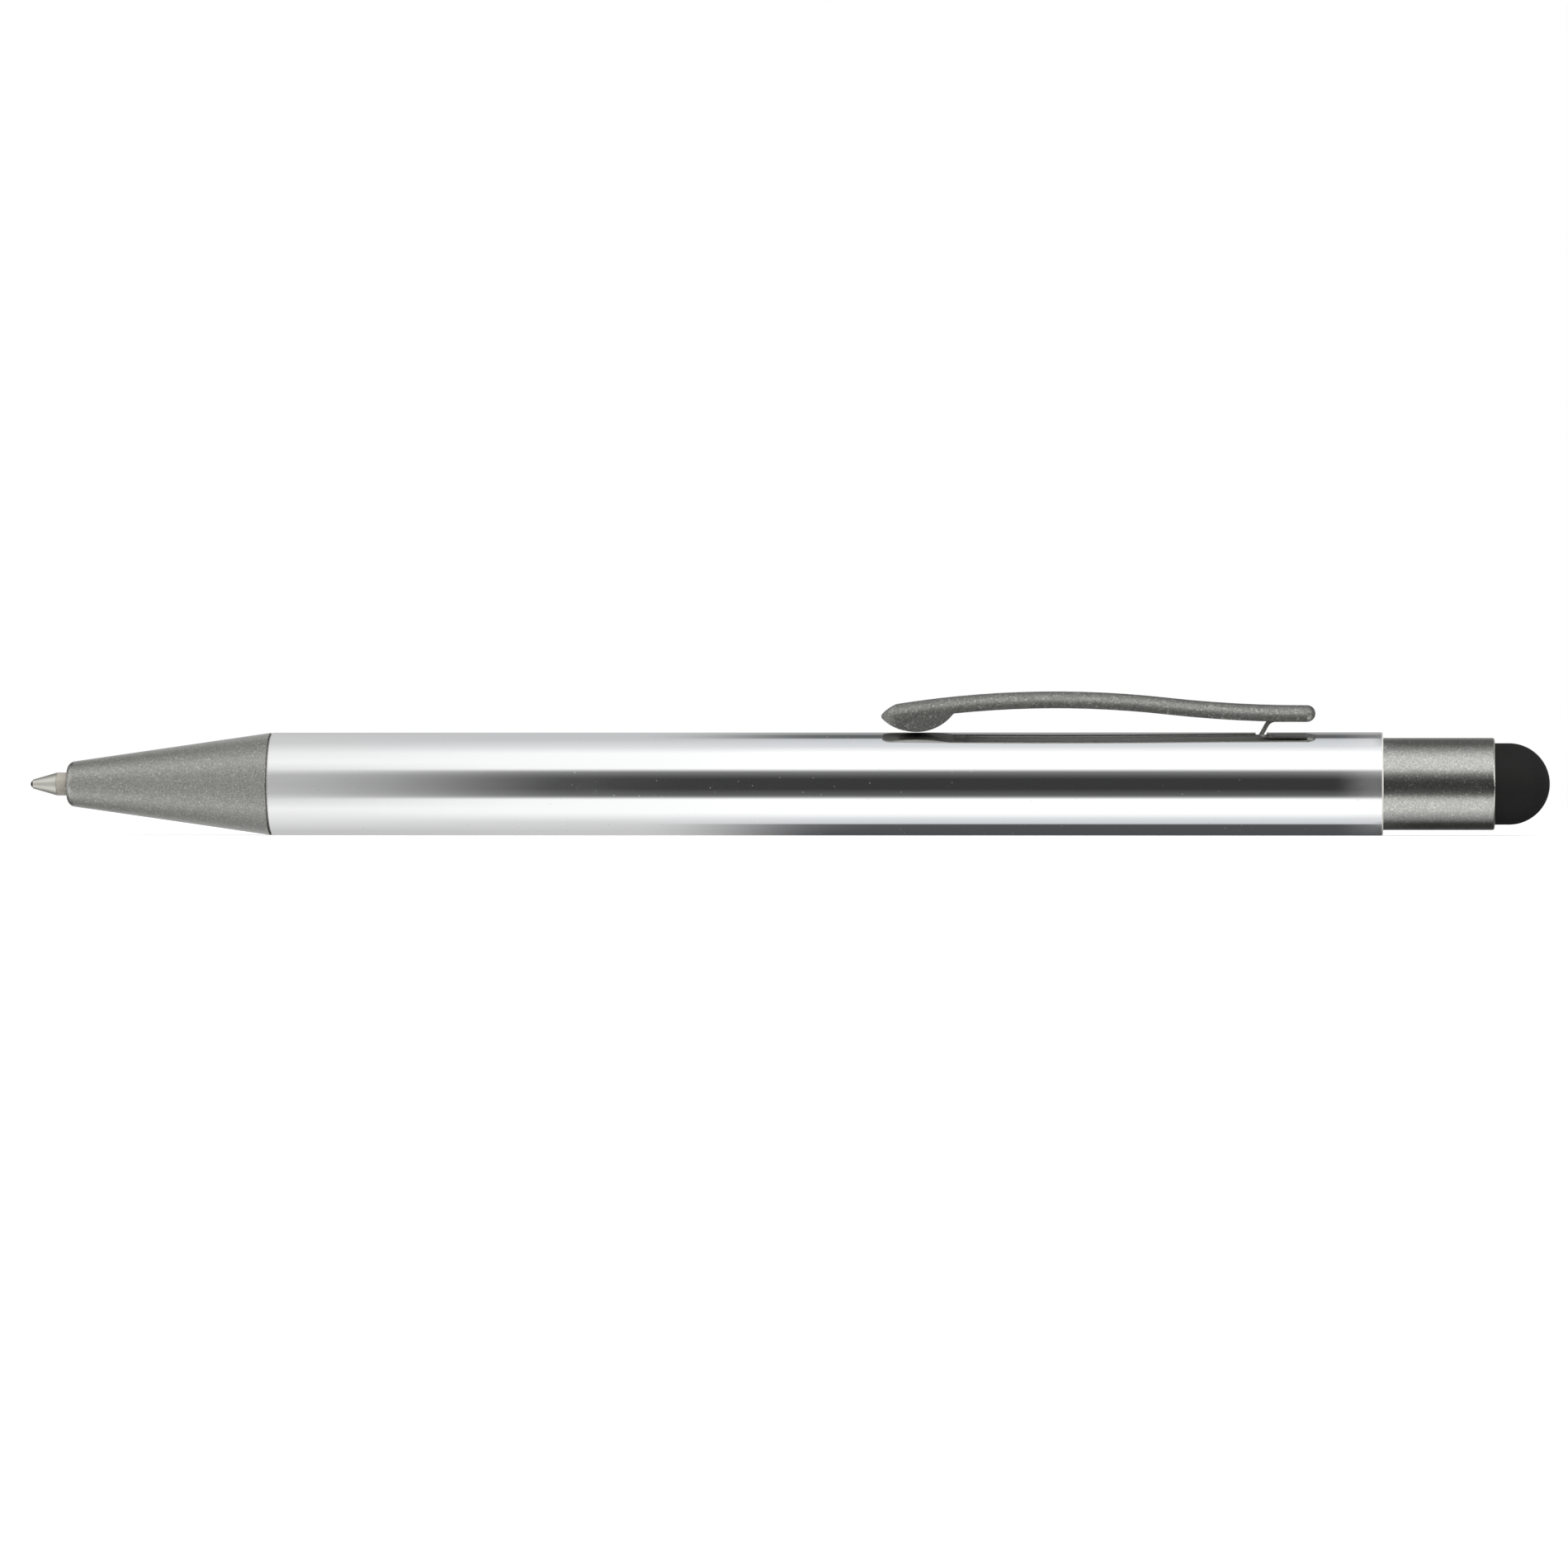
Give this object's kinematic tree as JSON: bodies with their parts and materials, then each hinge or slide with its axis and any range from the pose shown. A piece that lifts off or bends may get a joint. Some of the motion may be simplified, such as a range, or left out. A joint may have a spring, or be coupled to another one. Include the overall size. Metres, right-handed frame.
{
  "type": "stylus pen",
  "caption": "Retractable ballpoint pen with a slim polished tube barrel, tapered nose, spring clip and a push button that ends in a rubber stylus dome.",
  "frame": {"origin": "on the pen's axis at the front face of the barrel, where the nose meets it", "axes": "+X along the pen towards the stylus dome, +Z towards the clip, writing point towards -X"},
  "size_m": [0.136, 0.0092, 0.0128],
  "materials": {
    "polished_aluminium": "polished and clear anodised",
    "satin_grey": "satin metallic grey with fine flakes",
    "black_rubber": "matte conductive rubber",
    "nickel_silver": "fine turned",
    "pale_plastic": "milky translucent",
    "carbide": "polished",
    "brass": "turned",
    "spring_steel": "drawn wire",
    "white_acetal": "moulded",
    "black_acetal": "moulded",
    "ink": "wet paste",
    "grease": "clear grease"
  },
  "bodies": {
    "barrel": {"barrel_tube": "polished_aluminium", "front_bush": "brass", "cam_guide": "black_acetal", "return_spring": "spring_steel"},
    "nose": {"nose_cone": "satin_grey"},
    "clip": {"clip": "satin_grey"},
    "button": {"button_sleeve": "satin_grey", "stylus_tip": "black_rubber", "stylus_core": "black_acetal", "cam_plunger": "white_acetal"},
    "refill": {"refill_tube": "pale_plastic", "refill_point": "nickel_silver", "point_holder": "pale_plastic", "ink_column": "ink", "ink_follower": "grease"},
    "rotor": {"cam_rotor": "white_acetal"},
    "ball": {"writing_ball": "carbide"}
  },
  "joints": [
    {"name": "button_slide", "type": "slide", "parent": "barrel", "child": "button", "axis": [1, 0, 0], "range_m": [-0.0012, 0.005]},
    {"name": "refill_slide", "type": "slide", "parent": "barrel", "child": "refill", "axis": [1, 0, 0], "range_m": [-0.0012, 0.005], "deforming": ["return_spring"]},
    {"name": "rotor_turn", "type": "hinge", "parent": "refill", "child": "rotor", "pos_m": [0.07, 0, 0], "axis": [1, 0, 0], "range_deg": [-14.5, 60.1]},
    {"name": "ball_roll", "type": "hinge", "parent": "refill", "child": "ball", "pos_m": [-0.02145, 0, 0], "axis": [0, 1, 0], "continuous": true},
    {"name": "clip_flex", "type": "hinge", "parent": "barrel", "child": "clip", "pos_m": [0.0886, 0, 0.00438], "axis": [0, 1, 0], "range_deg": [0, 3.5], "stiffness_Nm_per_rad": 1.8},
    {"name": "nose_unscrew", "type": "slide", "parent": "barrel", "child": "nose", "axis": [-1, 0, 0], "range_m": [0, 0.008]}
  ],
  "couplings": [
    {"joint": "refill_slide", "follows": "button_slide", "ratio": 1},
    {"joint": "rotor_turn", "follows": "button_slide", "rad_per_m": 209.44}
  ]
}
